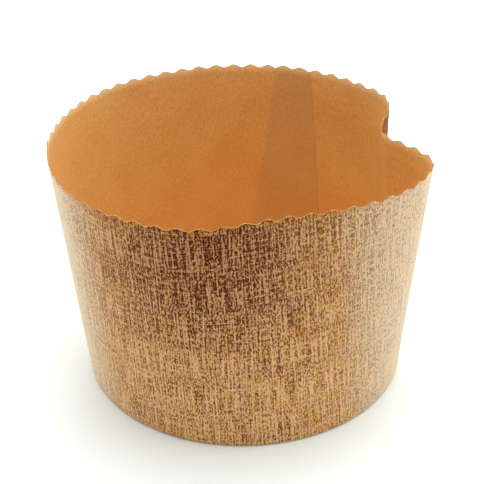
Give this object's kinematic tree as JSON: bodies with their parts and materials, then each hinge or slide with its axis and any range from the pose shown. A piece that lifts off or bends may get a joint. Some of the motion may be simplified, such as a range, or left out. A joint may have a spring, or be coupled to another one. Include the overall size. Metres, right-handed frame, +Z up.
{
  "type": "panettone paper mold",
  "caption": "Free-standing conical paper baking mold with a scalloped rim, a lap-glued side seam, a dented side and a glued-in round base.",
  "frame": {"origin": "on the table, under the middle of the cup's overall width and depth", "axes": "+Z up, out of the open rim; +X towards the sharp dent; -Y is the flattened front; the lap seam is at the back, on the +X side of +Y"},
  "size_m": [0.139, 0.1392, 0.095],
  "materials": {
    "printed_paper": "satin",
    "kraft_paper": "matte"
  },
  "bodies": {
    "root": {"wall": "printed_paper", "base_disc": "kraft_paper"}
  },
  "joints": []
}
